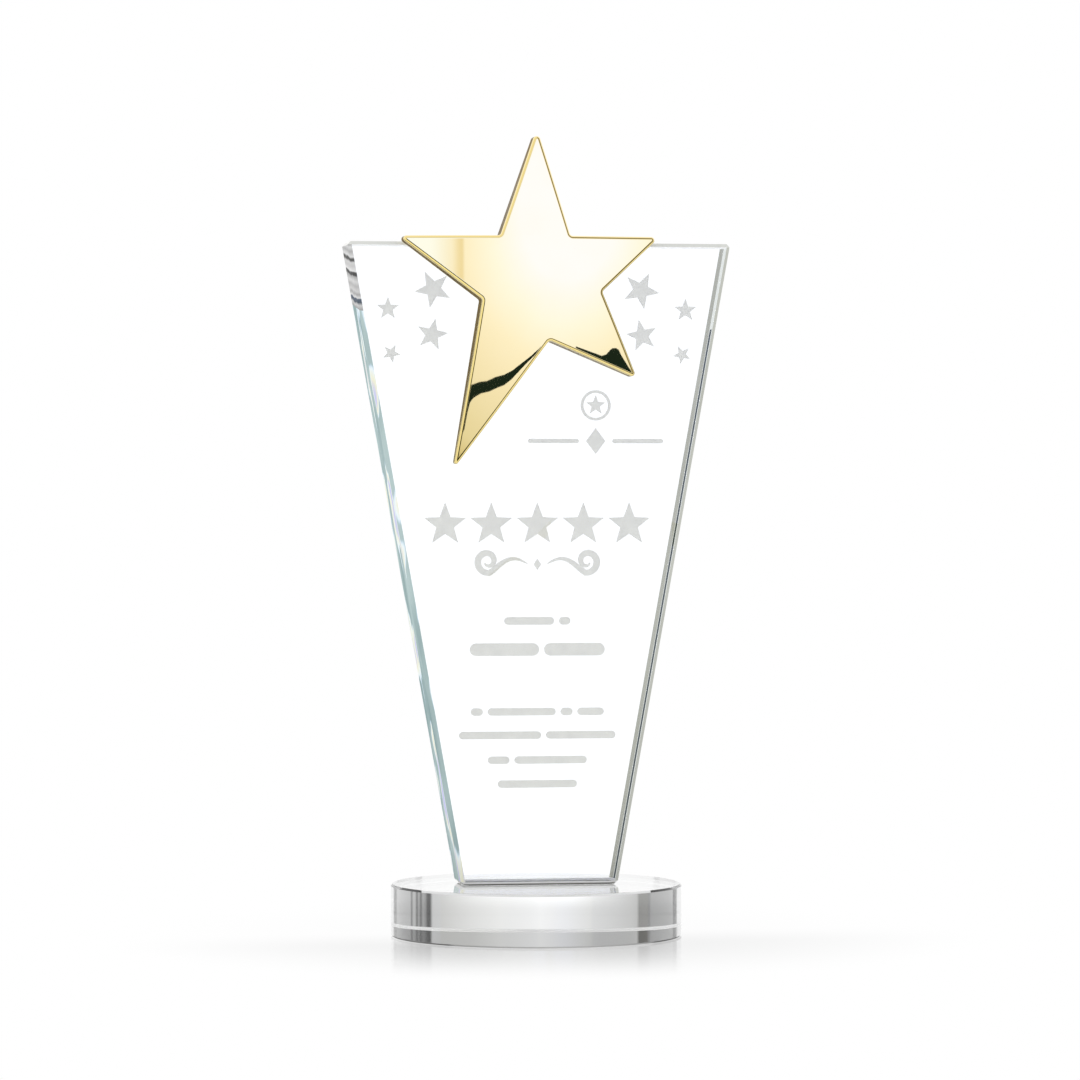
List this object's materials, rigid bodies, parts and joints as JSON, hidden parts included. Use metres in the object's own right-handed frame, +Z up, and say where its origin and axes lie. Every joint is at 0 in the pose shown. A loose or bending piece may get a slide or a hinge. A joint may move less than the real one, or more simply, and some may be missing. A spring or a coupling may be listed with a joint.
{
  "type": "star trophy",
  "caption": "Tapered clear crystal award panel standing on a round crystal base, with a domed gold star on the front of its top edge.",
  "frame": {"origin": "middle of the base's underside, on the surface that the trophy stands on", "axes": "+Z up, -Y towards the viewer (the side with the star), +X to the viewer's right"},
  "size_m": [0.1344, 0.1016, 0.278],
  "materials": {
    "base_crystal": "clear optical crystal, polished all over",
    "panel_crystal": "clear optical crystal with a faint green edge tint, polished, sand-etched marks in the back",
    "clear_adhesive": "cured water-clear adhesive",
    "foam_tape": "matte grey acrylic foam tape",
    "gold_plate": "mirror-polished gold plate"
  },
  "bodies": {
    "root": {"crystal_base": "base_crystal", "panel_bond_film": "clear_adhesive", "crystal_panel": "panel_crystal", "star_tape_pad": "foam_tape", "gold_star": "gold_plate"}
  },
  "joints": []
}
